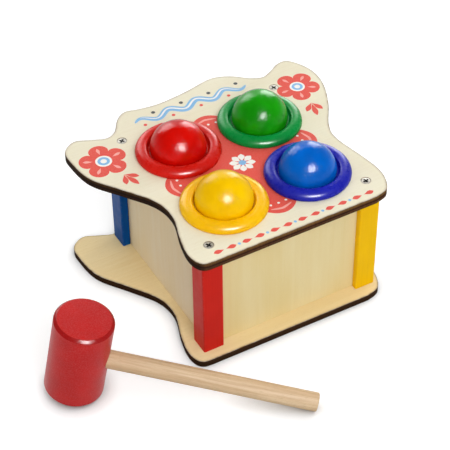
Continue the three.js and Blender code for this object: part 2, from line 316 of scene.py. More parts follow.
plyLooks = {
    "palePly": {
        "pale": "ede7cf", "deep": "e7dec2", "pore": "cfc09c", "along": "x", "streakShare": 0.35,
        "grain": {"Streak Width": 0.0019, "Pore Amount": 0.25}, "burnt": True, "char": 0.0,
    },
    "warmPly": {
        "pale": "f0dcac", "deep": "e6cd98", "pore": "c4a878", "along": "x", "streakShare": 0.35,
        "grain": {"Streak Width": 0.0024, "Pore Amount": 0.3}, "burnt": True, "char": 0.9,
    },
    "panelPly": {
        "pale": "eedeae", "deep": "e7d296", "pore": "d6c28c", "along": "z", "streakShare": 0.3,
        "grain": {"Streak Width": 0.0042, "Pore Amount": 0.2}, "burnt": False,
    },
    # the side panels: the same plywood as the front panel, painted paler and greyer as painted light that
    # lifts their shaded sides
    "sidePlyPaintedLight": {
        "pale": "f2e4c6", "deep": "edd9ad", "pore": "d8c8a0", "along": "z", "streakShare": 0.3,
        "grain": {"Streak Width": 0.0042, "Pore Amount": 0.2}, "burnt": False,
    },
    "rampPly": {
        "pale": "ead5a8", "deep": "dcc290", "pore": "a98c5e", "along": "y", "streakShare": 0.5,
        "grain": {"Streak Width": 0.0018, "Pore Amount": 0.5}, "burnt": False,
    },
}

plyFinish = {
    "streakBand": (0.36, 0.64), "roughness": (0.42, 0.56), "sideRoughness": 0.25,
    "bump": (0.00012, 0.35), "sockets": {"Specular IOR Level": 0.04},
    "inkNoise": (900.0, 3.0), "inkCover": (0.97, 0.9),
    "browning": "7d5c34", "browningNoise": (170.0, 3.0), "browningLevels": (0.45, 1.0),
}


def addPrint(tree, place, wood):
    # the slightly worn print over the wood
    ink = attribute(tree, "ink")
    worn = remap(tree, noise(tree, place, *plyFinish["inkNoise"]), *wholeNoise, *plyFinish["inkCover"])
    return blendColour(tree, calc(tree, "MULTIPLY", ink.outputs["Alpha"], worn), wood, ink.outputs["Color"])


def addBrowning(tree, place, wood):
    # the brown halo that the laser leaves along a cut
    uneven = noise(tree, place, *plyFinish["browningNoise"])
    uneven = remap(tree, uneven, *wholeNoise, *plyFinish["browningLevels"])
    halo = calc(tree, "MULTIPLY", attribute(tree, "scorch").outputs["Fac"], uneven, clamp=True)
    return blendColour(tree, halo, wood, tint(plyFinish["browning"]))


def makePly(name, bottom=0.0, thickness=1.0):
    look = plyLooks[name]
    material, tree = newMaterial(name)
    place = grainPlace(tree, grainAlong[look["along"]])
    grain = useGroup(tree, veneerGroup, {"Vector": place, **look["grain"]})
    streak = remap(tree, grain.outputs["Streak"], *plyFinish["streakBand"])
    cloud = remap(tree, grain.outputs["Cloud"], *coreNoise)
    mixed = put(tree, "Mix", {0: look["streakShare"], 2: cloud, 3: streak}).outputs[0]
    wood = blendColour(tree, mixed, tint(look["pale"]), tint(look["deep"]))
    wood = blendColour(tree, grain.outputs["Pore"], wood, tint(look["pore"]))
    roughness = remap(tree, grain.outputs["Streak"], *wholeNoise, *plyFinish["roughness"])
    if look["burnt"]:
        wood = addBrowning(tree, place, addPrint(tree, place, wood))
        burnt = useGroup(tree, burntEdgeGroup, {
            "Vector": ownPlace(tree), "Bottom": bottom, "Thickness": thickness, "Char": look["char"],
        })
        wood = blendColour(tree, burnt.outputs["Side"], wood, burnt.outputs["Color"])
        rougher = calc(tree, "MULTIPLY", burnt.outputs["Side"], plyFinish["sideRoughness"])
        roughness = calc(tree, "ADD", roughness, rougher)
    return finishMaterial(material, wood, roughness, grain.outputs["Height"], plyFinish)


def paintOverWood(tree, place, woodPlace, look):
    # the paint and the grain under it, with the roughness and the height of both
    skin = useGroup(tree, paintGroup, {"Vector": place, **look["skin"]}).outputs
    grain = useGroup(tree, veneerGroup, {"Vector": woodPlace, **look["grain"]}).outputs
    roughness = remap(tree, skin["Gloss Drift"], *wholeNoise, *look["roughness"])
    raised = calc(tree, "MULTIPLY", grain["Height"], look["grainRise"])
    return skin, grain, roughness, calc(tree, "ADD", skin["Height"], raised)


postPaint = {
    "colours": {                # the fresh tone and the deeper one
        "redPaint": ("cf251b", "c41f16"),
        "yellowPaint": ("fcc700", "f2bc00"),
        "navyPaint": ("004e98", "004188"),
        "greenPaint": ("1a8c1a", "147f14"),
    },
    "skin": {"Peel Size": 0.0011, "Speck Amount": 0.25},
    "grain": {"Streak Width": 0.0013, "Pore Amount": 0.4}, "grainRise": 1.0,
    "grainTone": 0.65, "slowTone": 0.35,
    "rubAndShadeWidth": 0.0007, "rubAndShadeShare": 0.3, "rubPaleness": 0.5,
    "roughness": (0.3, 0.42), "bump": (0.00006, 0.4), "sockets": {"Specular IOR Level": 0.05},
}


def makePostPaint(name):
    look = postPaint
    fresh, deep = [tint(code) for code in look["colours"][name]]
    material, tree = newMaterial(name)
    place = grainPlace(tree, grainAlong["z"])
    skin, grain, roughness, height = paintOverWood(tree, place, place, look)
    lines = remap(tree, grain["Streak"], *wholeNoise, 0.0, look["grainTone"])
    slow = remap(tree, skin["Tone"], *coreNoise, 0.0, look["slowTone"])
    colour = blendColour(tree, calc(tree, "ADD", lines, slow), fresh, deep)
    rub = useGroup(tree, edgeRubAndShadeGroup, {"Vector": place, "Width": look["rubAndShadeWidth"]})
    worn = calc(tree, "MULTIPLY", rub.outputs["Mask"], look["rubAndShadeShare"])
    rubbed = blendColour(tree, look["rubPaleness"], fresh, tint("ffffff"))
    return finishMaterial(material, blendColour(tree, worn, colour, rubbed), roughness, height, look)


ballPaint = {
    "colours": {                # the fresh tone and the deeper one
        "red": ("d40a02", "c20801"),
        "green": ("1a9e0c", "128a08"),
        "yellow": ("f9c800", "f0ba00"),
        "blue": ("0066cc", "005ab8"),
    },
    "gloss": {"red": 0.15, "green": 0.15, "yellow": 0.08, "blue": 0.12},
    "skin": {"Peel Size": 0.0019, "Speck Amount": 0.3},
    "grain": {"Streak Width": 0.0022, "Pore Amount": 0.3}, "grainRise": 0.2,
    "roughness": (0.12, 0.17), "bump": (0.00025, 0.8),
}


def makeBallPaint(colourName):
    look = {**ballPaint, "sockets": {"Specular IOR Level": ballPaint["gloss"][colourName]}}
    fresh, deep = [tint(code) for code in look["colours"][colourName]]
    material, tree = newMaterial(colourName + "BallPaint")
    place = ownPlace(tree)
    skin, _, roughness, height = paintOverWood(tree, place, place, look)
    colour = blendColour(tree, remap(tree, skin["Tone"], *coreNoise), fresh, deep)
    return finishMaterial(material, colour, roughness, height, look)


ringPlastic = {
    "colours": {                # the fresh tone and the deeper one
        "red": ("d01608", "c41206"),
        "green": ("00903c", "008436"),
        "yellow": ("fac200", "f2b700"),
        "blue": ("1c22aa", "181c9a"),
    },
    "flowNoise": (30.0, 2.0), "scuffNoise": (260.0, 4.0), "rippleNoise": (380.0, 2.0),
    "roughness": (0.25, 0.31), "bump": (0.00004, 0.25),
    "sockets": {"Specular IOR Level": 0.14, "Subsurface Weight": 0.06, "Subsurface Scale": 0.002},
}


def makeRingPlastic(colourName):
    look = ringPlastic
    fresh, deep = [tint(code) for code in look["colours"][colourName]]
    material, tree = newMaterial(colourName + "Plastic")
    place = ownPlace(tree)
    flow = remap(tree, noise(tree, place, *look["flowNoise"]), *coreNoise)
    colour = blendColour(tree, flow, fresh, deep)
    roughness = remap(tree, noise(tree, place, *look["scuffNoise"]), *wholeNoise, *look["roughness"])
    return finishMaterial(material, colour, roughness, noise(tree, place, *look["rippleNoise"]), look)


malletPaint = {
    "fresh": "c21917", "deep": "b01614", "toneLevels": (0.2, 0.8),
    "skin": {"Peel Size": 0.0011, "Speck Amount": 0.4},
    "grain": {"Streak Width": 0.0014, "Pore Amount": 0.6}, "grainRise": 0.5,
    "dust": "e89a9c", "dustNoise": (1100.0, 1.0), "dustBand": (0.4, 0.75), "dustShare": 0.09,
    # the edge colour is partly pooled paint and partly painted shade: the mallet's edges are darkened
    "rub": "8a0c0c", "rubAndShadeWidth": 0.0013, "rubAndShadeShare": 0.4,
    # painted shade: the chamfers between the ends and the side are darkened to a deep red, and polished
    # smoother
    "rim": "8f0a0a", "rimShadeShare": 0.65, "rimPolish": 0.12,
    "roughness": (0.3, 0.38), "bump": (0.0001, 0.5), "sockets": {"Specular IOR Level": 0.12},
}


def makeMalletPaint():
    look = malletPaint
    material, tree = newMaterial("malletPaint")
    place = ownPlace(tree)
    skin, _, roughness, height = paintOverWood(tree, place, grainPlace(tree, grainAlong["z"]), look)
    tone = remap(tree, skin["Tone"], *coreNoise, *look["toneLevels"])
    colour = blendColour(tree, tone, tint(look["fresh"]), tint(look["deep"]))
    dust = remap(tree, noise(tree, place, *look["dustNoise"]), *look["dustBand"], 0.0, look["dustShare"])
    colour = blendColour(tree, dust, colour, tint(look["dust"]))
    # darker edges on the mallet: partly pooled paint, partly painted shade
    rub = useGroup(tree, edgeRubAndShadeGroup, {"Vector": place, "Width": look["rubAndShadeWidth"]})
    worn = calc(tree, "MULTIPLY", rub.outputs["Mask"], look["rubAndShadeShare"])
    colour = blendColour(tree, worn, colour, tint(look["rub"]))
    # painted shade on the chamfers, which are also polished smoother
    rim = attribute(tree, "rim").outputs["Fac"]
    colour = blendColour(tree, calc(tree, "MULTIPLY", rim, look["rimShadeShare"]), colour, tint(look["rim"]))
    roughness = calc(tree, "SUBTRACT", roughness, calc(tree, "MULTIPLY", rim, look["rimPolish"]))
    return finishMaterial(material, colour, roughness, height, look)


dowelWood = {
    "fresh": "dfc49f", "deep": "c5a17a", "streakBand": (0.34, 0.66),
    "cloud": "bf9a72", "cloudBand": (0.45, 0.7), "cloudShare": 0.3,
    "pore": "a28058", "grain": {"Streak Width": 0.0017, "Pore Amount": 0.45},
    "roughness": (0.52, 0.66), "bump": (0.00014, 0.5), "sockets": {"Specular IOR Level": 0.1},
}


def makeDowel(lie):
    # lie is the turn of the handle, whose own Z runs along it
    look = dowelWood
    material, tree = newMaterial("dowel")
    upright = Euler(grainAlong["z"]).to_matrix()
    place = grainPlace(tree, tuple((upright @ lie.inverted()).to_euler()))
    grain = useGroup(tree, veneerGroup, {"Vector": place, **look["grain"]}).outputs
    streak = remap(tree, grain["Streak"], *look["streakBand"])
    wood = blendColour(tree, streak, tint(look["fresh"]), tint(look["deep"]))
    cloud = remap(tree, grain["Cloud"], *look["cloudBand"], 0.0, look["cloudShare"])
    wood = blendColour(tree, cloud, wood, tint(look["cloud"]))
    wood = blendColour(tree, grain["Pore"], wood, tint(look["pore"]))
    roughness = remap(tree, grain["Streak"], *wholeNoise, *look["roughness"])
    return finishMaterial(material, wood, roughness, grain["Height"], look)


zincPlate = {
    "pale": "aeaaa0", "deep": "8c887e", "grainNoise": (1800.0, 3.0),
    # the recess colour is painted shade: the faces inside the cross slot are darkened to near black
    "recess": "0c0b0a", "recessShare": 0.96,
    "roughness": (0.3, 0.46), "bump": (0.00003, 0.3), "sockets": {"Metallic": 0.6},
}


def makeZinc():
    look = zincPlate
    material, tree = newMaterial("zinc")
    grains = noise(tree, ownPlace(tree), *look["grainNoise"])
    colour = blendColour(tree, grains, tint(look["pale"]), tint(look["deep"]))
    # painted shade: the cross slot is darkened to near black
    sunk = calc(tree, "MULTIPLY", attribute(tree, "recess").outputs["Fac"], look["recessShare"])
    colour = blendColour(tree, sunk, colour, tint(look["recess"]))
    roughness = remap(tree, grains, *wholeNoise, *look["roughness"])
    return finishMaterial(material, colour, roughness, grains, look)


# Mesh helpers

onAxis = 1e-9                   # a smaller radius, in metres, is a point on the axis
sideShare = 0.45                # the most that a rounding takes of a side


def nodeSize(node):
    low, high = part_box(node)
    return low, high, (low + high) / 2, high - low


def newObject(name, data):
    thing = bpy.data.objects.new(name, data)
    bpy.context.scene.collection.objects.link(thing)
    return thing


def addPiece(name, mesh, material, body, node):
    piece = newObject(name, mesh)
    mesh.materials.clear()
    mesh.materials.append(material)
    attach(piece, body)
    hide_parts(node)


def shadeRound(mesh, sharpDegrees):
    mesh.shade_smooth()
    mesh.set_sharp_from_angle(angle=math.radians(sharpDegrees))


def fixNormals(mesh):
    work = bmesh.new()
    work.from_mesh(mesh)
    bmesh.ops.recalc_face_normals(work, faces=work.faces)
    work.to_mesh(mesh)
    work.free()


def lathe(name, profile, steps, place=Matrix(), closed=False):
    # radius and height pairs turned about Z, then set in place
    mesh = bpy.data.meshes.new(name)
    verts = []
    rows = []
    for radius, height in profile:
        if radius < onAxis:
            rows.append([len(verts)] * steps)
            verts.append((0.0, 0.0, height))
            continue
        rows.append(list(range(len(verts), len(verts) + steps)))
        for k in range(steps):
            angle = 2 * math.pi * k / steps
            verts.append((radius * math.cos(angle), radius * math.sin(angle), height))
    faces = []
    pairs = list(zip(rows, rows[1:]))
    if closed:
        pairs.append((rows[-1], rows[0]))
    for lower, upper in pairs:
        for k in range(steps):
            after = (k + 1) % steps
            corners = [lower[k], lower[after], upper[after], upper[k]]
            kept = [c for i, c in enumerate(corners) if c != corners[i - 1]]
            if len(kept) > 2:
                faces.append(kept)
    mesh.from_pydata(verts, [], faces)
    mesh.validate()
    mesh.transform(place)
    fixNormals(mesh)
    return mesh


def softProfile(points, radius, steps):
    # a radius and height outline with each inner corner rounded off
    points = [Vector(p) for p in points]
    rounded = [points[0]]
    for before, corner, after in zip(points, points[1:], points[2:]):
        cut = min(radius, (corner - before).length * sideShare, (after - corner).length * sideShare)
        start = corner + (before - corner).normalized() * cut
        end = corner + (after - corner).normalized() * cut
        for k in range(steps + 1):
            t = k / steps
            rounded.append(start * (1 - t) ** 2 + corner * 2 * t * (1 - t) + end * t ** 2)
    rounded.append(points[-1])
    return [(p.x, p.y) for p in rounded]


def subtract(mesh, cutters):
    # exact boolean cuts, given back as a new mesh
    body = newObject("cutBody", mesh)
    tools = [newObject("cutTool", cutter) for cutter in cutters]
    for tool in tools:
        modifier = body.modifiers.new("cut", "BOOLEAN")
        modifier.object = tool
        modifier.operation = "DIFFERENCE"
        modifier.solver = "EXACT"
    depsgraph = bpy.context.evaluated_depsgraph_get()
    result = bpy.data.meshes.new_from_object(body.evaluated_get(depsgraph))
    for spare in [body, *tools]:
        bpy.data.objects.remove(spare)
    return result


# Boards. Loops and motifs are worked out in millimetres in the plane of the board.

boardShape = {
    "curveSteps": 4,            # new points for each outline point of the CAD board
    "longestCurve": 20.0,       # a longer stretch of the outline stays straight
    "edgeRound": 0.35, "roundSteps": 3,
    "scorchInsets": (0.9, 2.2),
    "scorchLevels": (0.85, 0.28, 0.0),      # at the rounded edge, then at each inset
    "holeScorch": 0.45,
    "holeHalo": 0.8,            # how far the browning reaches round a hole
    "holeSteps": 96, "seatSteps": 48,
    "rimDegrees": 45, "shadeDegrees": 35,
    "near": 0.01,               # points this close belong to a loop or a face
    "weld": 0.001, "faceWeld": 0.002, "triangleGap": 1e-5,
}


def rimLoop(mesh):
    # the outline of the upper face as points in order, counter-clockwise
    work = bmesh.new()
    work.from_mesh(mesh)
    bmesh.ops.remove_doubles(work, verts=work.verts, dist=boardShape["weld"] * mm)
    top = max(v.co.z for v in work.verts)
    onTop = {v for v in work.verts if top - v.co.z < boardShape["near"] * mm}
    bend = math.radians(boardShape["rimDegrees"])
    rim = [e for e in work.edges if set(e.verts) <= onTop and e.calc_face_angle(0) > bend]
    left = {v: [] for e in rim for v in e.verts}
    for first, second in [e.verts for e in rim]:
        left[first].append(second)
        left[second].append(first)
    loops = []
    while left:
        loop = [next(iter(left))]
        while loop[-1] in left:
            onward = [v for v in left.pop(loop[-1]) if v in left]
            loop += onward[:1]
        loops.append(np.array([(v.co.x, v.co.y) for v in loop]) / mm)
    work.free()
    longest = max(loops, key=lambda loop: np.ptp(loop[:, 0]))
    ahead = np.roll(longest, -1, axis=0)
    area = np.sum(longest[:, 0] * ahead[:, 1] - ahead[:, 0] * longest[:, 1])
    return longest if area > 0 else longest[::-1]


def smoothLoop(points, steps, longest):
    # a curve through the points; a stretch longer than `longest` stays straight
    count = len(points)
    spans = [np.linalg.norm(points[(i + 1) % count] - points[i]) for i in range(count)]
    heading = []
    for i in range(count):
        before = points[i] - points[i - 1]
        after = points[(i + 1) % count] - points[i]
        if spans[i - 1] > longest:
            heading.append(before / spans[i - 1])
        elif spans[i] > longest:
            heading.append(after / spans[i])
        else:
            mean = before / spans[i - 1] * spans[i] + after / spans[i] * spans[i - 1]
            heading.append(mean / np.linalg.norm(mean))
    result = []
    for i in range(count):
        start = points[i]
        end = points[(i + 1) % count]
        result.append(start)
        if spans[i] > longest:
            continue
        pull = heading[i] * spans[i]
        push = heading[(i + 1) % count] * spans[i]
        for k in range(1, steps):
            t = k / steps
            shares = (2 * t**3 - 3 * t**2 + 1, t**3 - 2 * t**2 + t, -2 * t**3 + 3 * t**2, t**3 - t**2)
            result.append(shares[0] * start + shares[1] * pull + shares[2] * end + shares[3] * push)
    return np.array(result)


def acrossLoop(along):
    # the unit directions to the left of those given
    along = along / np.linalg.norm(along, axis=1)[:, None]
    return np.stack([-along[:, 1], along[:, 0]], axis=1)


def insetLoop(points, distance):
    return points + acrossLoop(np.roll(points, -1, axis=0) - np.roll(points, 1, axis=0)) * distance


def fullTurn(steps):
    return np.arange(steps) * 2 * math.pi / steps


def roundLoop(centre, angle, reach):
    return np.stack([centre[0] + reach * np.cos(angle), centre[1] + reach * np.sin(angle)], axis=1)


def circleLoop(centre, radius, steps):
    return roundLoop(centre, fullTurn(steps), radius)


def insideLoop(points, loop):
    # even-odd test of many points at once
    inside = np.zeros(len(points), bool)
    ahead = np.roll(loop, -1, axis=0)
    for (x0, y0), (x1, y1) in zip(loop, ahead):
        if y0 == y1:
            continue
        crosses = (y0 > points[:, 1]) != (y1 > points[:, 1])
        at = x0 + (points[:, 1] - y0) * (x1 - x0) / (y1 - y0)
        inside ^= crosses & (points[:, 0] < at)
    return inside


def flatFace(outer, holes, extras):
    # triangles between the outer loop and the holes, with the extra loops as edges
    loops = [outer, *holes, *extras]
    points = [Vector(p) for p in np.concatenate(loops)]
    edges = []
    start = 0
    for loop in loops:
        count = len(loop)
        edges += [(start + i, start + (i + 1) % count) for i in range(count)]
        start += count
    result = geometry.delaunay_2d_cdt(points, edges, [], 0, boardShape["triangleGap"])
    flat = np.array([(v.x, v.y) for v in result[0]])
    triangles = np.array(result[2])
    middles = flat[triangles].mean(axis=1)
    keep = insideLoop(middles, outer)
    for hole in holes:
        keep &= ~insideLoop(middles, hole)
    return flat, triangles[keep], middles[keep]


def addWall(work, bottom, loops, level):
    # smooth faces between loops that follow each other, each given with its height
    scorch = work.verts.layers.float["scorch"]
    rows = []
    for points, height in loops:
        rows.append([work.verts.new((x * mm, y * mm, bottom + height * mm)) for x, y in points])
        for vert in rows[-1]:
            vert[scorch] = level
    for first, second in zip(rows, rows[1:]):
        for k in range(len(first)):
            after = (k + 1) % len(first)
            work.faces.new((first[k], first[after], second[after], second[k])).smooth = True


def addFlatSide(work, bottom, height, outline, holes, motifs):
    # one flat side with its browning and print; each hole is its rim and its halo
    shape = boardShape
    rim = insetLoop(outline, shape["edgeRound"])
    insets = [insetLoop(outline, inset) for inset in shape["scorchInsets"]]
    edges = [loop for loop, _ in holes]
    extras = insets + [loop for _, loop in holes] + [loop for loop, _ in motifs]
    flat, triangles, middles = flatFace(rim, edges, extras)
    browned = list(zip([rim, *insets], shape["scorchLevels"]))
    browned += [(loop, shape["holeScorch"]) for loop in edges]
    inks = np.zeros((len(triangles), 4))
    for loop, code in motifs:
        inks[insideLoop(middles, loop)] = tint(code)
    scorch = work.verts.layers.float["scorch"]
    verts = {}
    for i in np.unique(triangles):
        verts[i] = work.verts.new((*(flat[i] * mm), bottom + height * mm))
        for loop, level in browned:
            if np.min(np.linalg.norm(loop - flat[i], axis=1)) < shape["near"]:
                verts[i][scorch] = level
    ink = work.loops.layers.float_color["ink"]
    for corners, colour in zip(triangles, inks):
        order = corners if height > 0 else corners[::-1]
        for corner in work.faces.new([verts[i] for i in order]).loops:
            corner[ink] = colour


def buildBoard(name, node, holes, motifs):
    # holes are (centre, [(radius, depth below the top), ...], steps) from the top down
    shape = boardShape
    low, _, _, size = nodeSize(node)
    thickness = size.z / mm
    outline = smoothLoop(rimLoop(cadNodes[node].data), shape["curveSteps"], shape["longestCurve"])
    quarter = [math.pi / 2 * k / shape["roundSteps"] for k in range(shape["roundSteps"] + 1)]
    edge = shape["edgeRound"]
    lower = [(edge * (1 - math.sin(a)), edge * (1 - math.cos(a))) for a in quarter]
    upper = [(inset, thickness - rise) for inset, rise in reversed(lower)]
    work = bmesh.new()
    work.verts.layers.float.new("scorch")
    work.loops.layers.float_color.new("ink")
    addWall(work, low.z, [(insetLoop(outline, inset), height) for inset, height in lower + upper], 1.0)
    topHoles = []
    bottomHoles = []
    for centre, steps, count in holes:
        walls = [(circleLoop(centre, radius, count), thickness - depth) for radius, depth in steps]
        addWall(work, low.z, walls, shape["holeScorch"])
        for side, (radius, _) in ((topHoles, steps[0]), (bottomHoles, steps[-1])):
            halo = circleLoop(centre, radius + shape["holeHalo"], count)
            side.append((circleLoop(centre, radius, count), halo))
    addFlatSide(work, low.z, thickness, outline, topHoles, motifs)
    addFlatSide(work, low.z, 0.0, outline, bottomHoles, [])
    bmesh.ops.remove_doubles(work, verts=work.verts, dist=shape["faceWeld"] * mm)
    # a motif that crosses a hole's rim leaves a three-sided slit there
    bmesh.ops.holes_fill(work, edges=[e for e in work.edges if e.is_boundary], sides=3)
    bmesh.ops.recalc_face_normals(work, faces=work.faces)
    mesh = bpy.data.meshes.new(name)
    work.to_mesh(mesh)
    work.free()
    smooth = [face.use_smooth for face in mesh.polygons]
    shadeRound(mesh, shape["shadeDegrees"])
    mesh.polygons.foreach_set("use_smooth", smooth)
    return mesh


# Print on the top board, in mm: a coral rosette under the rings, flowers on the lobes, waves at the back

boardPrint = {
    "inks": {"coral": "e2443b", "pink": "f2a39a", "sky": "7cb6e4", "white": "f6f3ec", "slate": "3b4148"},
    "rosette": {"centre": (0.0, -1.5), "radius": 50.5, "swing": 15.5, "petals": 4, "steps": 160},
    "strokes": {"inset": 5.0, "span": 9.0, "droop": 0.22, "width": 2.0, "points": 16},
    "dots": {"inset": 6.5, "leans": (-7.0, 0.0, 7.0), "radius": 1.1, "steps": 16},
    "daisy": {
        "centre": (0.0, -1.5), "radius": 10.5, "petals": 8, "turn": 22.5, "foot": 1.5, "width": 5.4,
        "heart": 3.0, "heartSteps": 28,
    },
    "flowerShape": {"petals": 5, "notch": 0.42, "roundness": 0.45, "steps": 200},
    "flowerStroke": (0.42, 0.42, 0.14),     # start, length and width as shares of the radius
    "flowerHeart": ((0.34, "white"), (0.25, "sky"), (0.13, "white")), "flowerHeartSteps": 32,
    "flowers": [
        {"centre": (-92.5, 54.0), "radius": 19.5, "turn": 12.0},
        {"centre": (87.5, 60.0), "radius": 18.5, "turn": 40.0},
    ],
    "sprayLeaves": ((-34.0, 0.72), (34.0, 0.72), (0.0, 1.0)), "sprayWidth": 0.27,
    "sprays": [
        {"foot": (-86.0, 32.0), "turn": -72.0, "length": 17.0},
        {"foot": (86.0, 36.0), "turn": -104.0, "length": 17.0},
    ],
    "wave": {
        "start": -50.0, "end": 52.0, "middle": 83.5, "swing": 3.4, "length": 25.5, "width": 6.6,
        "points": 100, "lineEnds": 6, "lineRise": 0.7, "lineWidth": 1.7,
        "dotGap": 2.2, "dotSteps": 20,
        "dots": ((0.75, 1, 1.7, "slate"), (0.25, -1, 1.5, "coral")),    # share of a wave, side, radius
    },
    "leaves": {
        "start": -60.0, "end": 60.0, "middle": -80.2, "count": 11, "length": 9.0, "width": 4.2,
        "gap": 0.5, "dotRadius": 1.2, "dotSteps": 18,
    },
    "leafSteps": 12, "leafSwell": 1.5, "ribbonTaper": 0.4,
}
inks = boardPrint["inks"]


def petalLoop(centre, radius, swing, petals, steps):
    # a round outline that swells once for each petal
    angle = fullTurn(steps)
    return roundLoop(centre, angle, radius + swing * np.cos(petals * angle))


def flowerLoop(centre, radius, turn, petals, notch, roundness, steps):
    # broad round petals with a narrow notch between them
    angle = fullTurn(steps)
    swell = np.abs(np.cos(petals / 2 * (angle - math.radians(turn)))) ** roundness
    return roundLoop(centre, angle, radius * (1 - notch * (1 - swell)))


def leafLoop(foot, turn, length, width):
    # pointed at the foot, round at the far end
    steps = boardPrint["leafSteps"]
    angle = math.radians(turn)
    along = np.array([math.cos(angle), math.sin(angle)])
    across = np.array([-along[1], along[0]])
    points = []
    for k in range(2 * steps):
        share = k / steps if k < steps else 2 - k / steps
        side = -1 if k < steps else 1
        bulge = width / 2 * math.sin(math.pi * share ** boardPrint["leafSwell"])
        points.append(np.array(foot) + along * length * share + across * bulge * side)
    return np.array(points)


def ribbonLoop(points, width):
    # a band along the points, narrowing to both ends
    across = acrossLoop(np.gradient(points, axis=0))
    share = np.linspace(0.0, 1.0, len(points))
    half = (width / 2 * np.sin(math.pi * share) ** boardPrint["ribbonTaper"])[:, None]
    left = points + across * half
    right = points - across * half
    return np.concatenate([right, left[::-1][1:-1]])


def aroundPlace(centre, distance, degrees):
    angle = math.radians(degrees)
    return (centre[0] + distance * math.cos(angle), centre[1] + distance * math.sin(angle))


def rosetteMotif(rosette, strokes, dots):
    centre = rosette["centre"]
    motif = [(petalLoop(**rosette), inks["coral"])]
    far = rosette["radius"] + rosette["swing"] - strokes["inset"]
    leans = np.linspace(-strokes["span"], strokes["span"], strokes["points"])
    for k in range(rosette["petals"]):
        out = k * 360 / rosette["petals"]
        arc = [aroundPlace(centre, far - abs(lean) * strokes["droop"], out + lean) for lean in leans]
        motif.append((ribbonLoop(np.array(arc), strokes["width"]), inks["pink"]))
        for lean in dots["leans"]:
            spot = aroundPlace(centre, far - dots["inset"], out + lean)
            motif.append((circleLoop(spot, dots["radius"], dots["steps"]), inks["white"]))
    return motif


def daisyMotif(centre, radius, petals, turn, foot, width, heart, heartSteps):
    motif = []
    for k in range(petals):
        out = turn + k * 360 / petals
        motif.append((leafLoop(aroundPlace(centre, foot, out), out, radius - foot, width), inks["white"]))
    return motif + [(circleLoop(centre, heart, heartSteps), inks["sky"])]


def flowerMotif(centre, radius, turn):
    # round petals with a pink stroke in each, and a ringed heart
    shape = boardPrint["flowerShape"]
    motif = [(flowerLoop(centre, radius, turn, **shape), inks["coral"])]
    start, length, width = [radius * share for share in boardPrint["flowerStroke"]]
    for k in range(shape["petals"]):
        out = turn + k * 360 / shape["petals"]
        motif.append((leafLoop(aroundPlace(centre, start, out), out, length, width), inks["pink"]))
    for share, ink in boardPrint["flowerHeart"]:
        motif.append((circleLoop(centre, radius * share, boardPrint["flowerHeartSteps"]), inks[ink]))
    return motif


def sprayMotif(foot, turn, length):
    # leaves from one foot
    width = length * boardPrint["sprayWidth"]
    return [
        (leafLoop(foot, turn + lean, length * share, width), inks["coral"])
        for lean, share in boardPrint["sprayLeaves"]
    ]


def waveMotif(wave):
    # a band with a line in it, and dots over and under it
    x = np.linspace(wave["start"], wave["end"], wave["points"])
    y = wave["middle"] + wave["swing"] * np.sin(2 * math.pi * (x - wave["start"]) / wave["length"])
    inner = slice(wave["lineEnds"], -wave["lineEnds"])
    line = np.stack([x[inner], y[inner] + wave["lineRise"]], axis=1)
    motif = [
        (ribbonLoop(np.stack([x, y], axis=1), wave["width"]), inks["sky"]),
        (ribbonLoop(line, wave["lineWidth"]), inks["white"]),
    ]
    for k in range(int((wave["end"] - wave["start"]) / wave["length"])):
        for share, side, radius, ink in wave["dots"]:
            dotX = wave["start"] + wave["length"] * (k + share)
            dotY = wave["middle"] + side * wave["swing"] + side * wave["dotGap"]
            motif.append((circleLoop((dotX, dotY), radius, wave["dotSteps"]), inks[ink]))
    return motif


def leafRowMotif(leaves):
    # pairs of leaves and dots by turns
    motif = []
    for k, x in enumerate(np.linspace(leaves["start"], leaves["end"], leaves["count"])):
        if k % 2:
            dot = circleLoop((x, leaves["middle"]), leaves["dotRadius"], leaves["dotSteps"])
            motif.append((dot, inks["sky"]))
            continue
        for turn, side in ((0.0, 1), (180.0, -1)):
            foot = (x + side * leaves["gap"], leaves["middle"])
            motif.append((leafLoop(foot, turn, leaves["length"], leaves["width"]), inks["coral"]))
    return motif


def printMotifs():
    motifs = rosetteMotif(boardPrint["rosette"], boardPrint["strokes"], boardPrint["dots"])
    motifs += daisyMotif(**boardPrint["daisy"])
    motifs += waveMotif(boardPrint["wave"]) + leafRowMotif(boardPrint["leaves"])
    for flower in boardPrint["flowers"]:
        motifs += flowerMotif(**flower)
    for spray in boardPrint["sprays"]:
        motifs += sprayMotif(**spray)
    return motifs


def screwHoles(node):
    # countersunk seats under the four screw heads of a board
    shape = screwShape
    thickness = nodeSize(node)[3].z / mm
    facesUp = node == "top_board"
    prefix = "screw_top_" if facesUp else "screw_bottom_"
    holes = []
    for corner in shape["turns"]:
        _, _, middle, headSize = nodeSize(prefix + corner)
        mouth = headSize.x / 2 / mm + shape["seatGap"]
        shank = shape["shank"] + shape["seatGap"]
        depths = [(mouth, 0.0), (mouth, shape["mouthDepth"]), (shank, shape["coneDepth"]), (shank, thickness)]
        if not facesUp:
            depths = [(radius, thickness - depth) for radius, depth in reversed(depths)]
        holes.append(((middle.x / mm, middle.y / mm), depths, boardShape["seatSteps"]))
    return holes


def ringHoles():
    holes = []
    thickness = nodeSize("top_board")[3].z / mm
    for colourName in ballColours:
        low, high, middle, _ = nodeSize("ball_" + colourName)
        radius = (high.x - low.x) / 2 / mm + ringShape["holeGap"]
        depths = [(radius, 0.0), (radius, thickness)]
        holes.append(((middle.x / mm, middle.y / mm), depths, boardShape["holeSteps"]))
    return holes


def addBoards():
    topHoles = ringHoles() + screwHoles("top_board")
    boards = (
        ("baseBoard", "base_board", "warmPly", "warm_ply", screwHoles("base_board"), []),
        ("topBoard", "top_board", "palePly", "pale_ply", topHoles, printMotifs()),
    )
    for name, node, material, slotName, holes, motifs in boards:
        low, _, _, size = nodeSize(node)
        mesh = buildBoard(name, node, holes, motifs)
        addPiece(name, mesh, makePly(material, low.z, size.z), "bench", node)
    print("boards")


# Posts, panels, ramp

